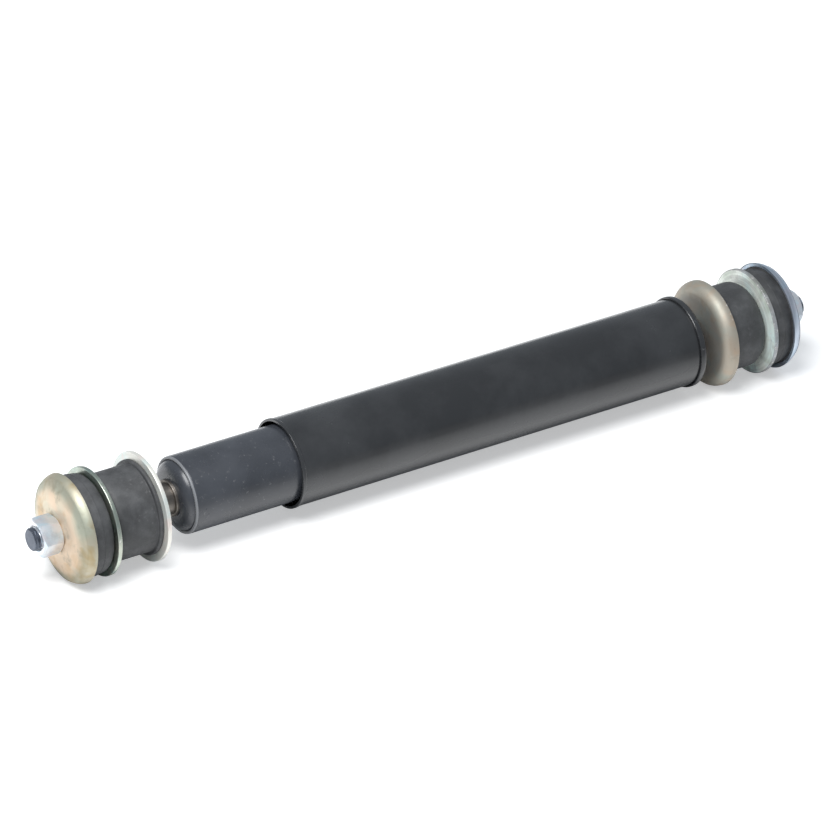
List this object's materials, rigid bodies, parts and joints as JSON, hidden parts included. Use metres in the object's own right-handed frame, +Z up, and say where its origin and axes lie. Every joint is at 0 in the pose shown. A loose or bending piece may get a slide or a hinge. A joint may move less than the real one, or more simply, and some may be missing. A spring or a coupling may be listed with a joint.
{
  "type": "shock absorber",
  "caption": "Telescopic twin-tube hydraulic shock absorber with a dust tube over the rod and a rubber-bushed threaded pin mount at each end.",
  "frame": {"origin": "on the axis at the middle of the lower bracket seat, the neck of the lower inner bush", "axes": "+X along the axis from the body end to the rod and dust tube end, +Z up, +Y to the back"},
  "size_m": [0.6192, 0.076, 0.076],
  "materials": {
    "black_paint": "gloss black stove paint",
    "yellow_zinc": "yellow zinc plate with a faint iridescence",
    "bright_zinc": "bright zinc plate",
    "bush_rubber": "moulded, matte",
    "dark_steel": "phosphated",
    "hard_chrome": "ground hard chrome",
    "plain_steel": "oiled",
    "spring_steel": "rolled, oiled",
    "sintered_iron": "sintered, matte",
    "band_plastic": "filled low-friction plastic",
    "bush_bronze": "lined bronze",
    "seal_rubber": "oil-proof rubber"
  },
  "bodies": {
    "cylinder": {"reserve_tube": "black_paint", "base_cap": "black_paint", "lower_stem": "dark_steel", "pressure_tube": "plain_steel", "base_valve_body": "sintered_iron", "base_valve_bolt": "bright_zinc", "base_valve_nut": "bright_zinc", "compression_discs": "spring_steel", "intake_spring": "spring_steel", "rod_guide": "sintered_iron", "guide_bush": "bush_bronze", "rod_seal": "seal_rubber", "seal_spring": "spring_steel", "guide_ring": "seal_rubber", "end_plate": "plain_steel", "lower_inner_washer": "bright_zinc", "lower_inner_bush": "bush_rubber", "lower_middle_washer": "bright_zinc", "lower_outer_bush": "bush_rubber", "lower_outer_cup": "yellow_zinc", "lower_nut": "bright_zinc", "lower_sleeve": "plain_steel"},
    "intake_plate": {"intake_plate": "spring_steel"},
    "piston_band": {"piston_band": "band_plastic"},
    "rod": {"piston_rod": "hard_chrome", "piston": "sintered_iron", "rebound_discs": "spring_steel", "rebound_support": "plain_steel", "piston_nut": "bright_zinc", "check_stop": "plain_steel", "check_spring": "spring_steel", "rebound_stop": "plain_steel", "rebound_bumper": "seal_rubber", "dust_tube": "black_paint", "dust_cap": "black_paint", "upper_inner_cup": "yellow_zinc", "upper_inner_bush": "bush_rubber", "upper_middle_washer": "bright_zinc", "upper_outer_bush": "bush_rubber", "upper_outer_cup": "yellow_zinc", "upper_nut": "bright_zinc", "upper_sleeve": "plain_steel"},
    "check_plate": {"check_plate": "spring_steel"}
  },
  "joints": [
    {"name": "rod_slide", "type": "slide", "parent": "cylinder", "child": "piston_band", "axis": [1, 0, 0], "range_m": [-0.02, 0.23]},
    {"name": "rod_turn", "type": "hinge", "parent": "piston_band", "child": "rod", "pos_m": [0, 0, 0], "axis": [1, 0, 0], "continuous": true},
    {"name": "intake_lift", "type": "slide", "parent": "cylinder", "child": "intake_plate", "axis": [1, 0, 0], "range_m": [0, 0.0015], "stiffness_N_per_m": 400, "springref_m": -0.002, "deforming": ["intake_spring"]},
    {"name": "check_lift", "type": "slide", "parent": "rod", "child": "check_plate", "axis": [1, 0, 0], "range_m": [0, 0.001], "stiffness_N_per_m": 400, "springref_m": -0.0005, "deforming": ["check_spring"]}
  ]
}
